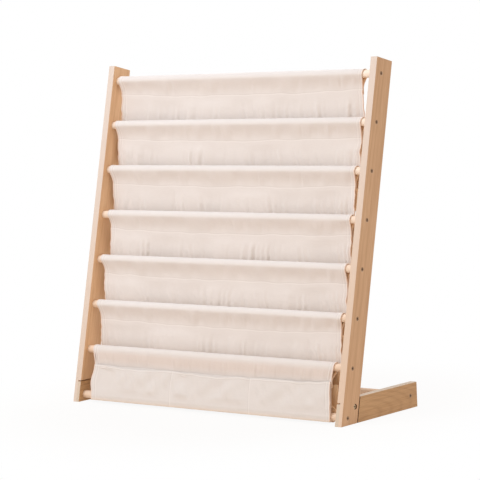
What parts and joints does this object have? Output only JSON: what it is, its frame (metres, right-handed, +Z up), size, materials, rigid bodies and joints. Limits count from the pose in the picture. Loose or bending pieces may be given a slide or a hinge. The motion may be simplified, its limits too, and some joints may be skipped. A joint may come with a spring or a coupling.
{
  "type": "sling book rack",
  "caption": "Leaning pine book rack: canvas hung over dowels in sling pockets shows books face on, with patch pockets on the lowest panel.",
  "frame": {"origin": "on the floor under the middle of the rack", "axes": "+X to the viewer's right, along the dowels; +Y from the front to the back; +Z up"},
  "size_m": [0.81, 0.289, 0.7998],
  "materials": {
    "pine": "satin",
    "dowel_pine": "satin",
    "canvas": "woven, matt",
    "screw_steel": "zinc plated"
  },
  "bodies": {
    "root": {"bottom_panel": "canvas", "dowel_1": "dowel_pine", "dowel_2": "dowel_pine", "dowel_3": "dowel_pine", "dowel_4": "dowel_pine", "dowel_5": "dowel_pine", "dowel_6": "dowel_pine", "dowel_7": "dowel_pine", "dowel_8": "dowel_pine", "left_dowel_screws": "screw_steel", "left_foot": "pine", "left_lap_screw": "screw_steel", "left_upright": "pine", "patch_pockets": "canvas", "rear_dowel": "dowel_pine", "right_dowel_screws": "screw_steel", "right_foot": "pine", "right_lap_screw": "screw_steel", "right_upright": "pine", "sling_1": "canvas", "sling_2": "canvas", "sling_3": "canvas", "sling_4": "canvas", "sling_5": "canvas", "sling_6": "canvas"}
  },
  "joints": []
}
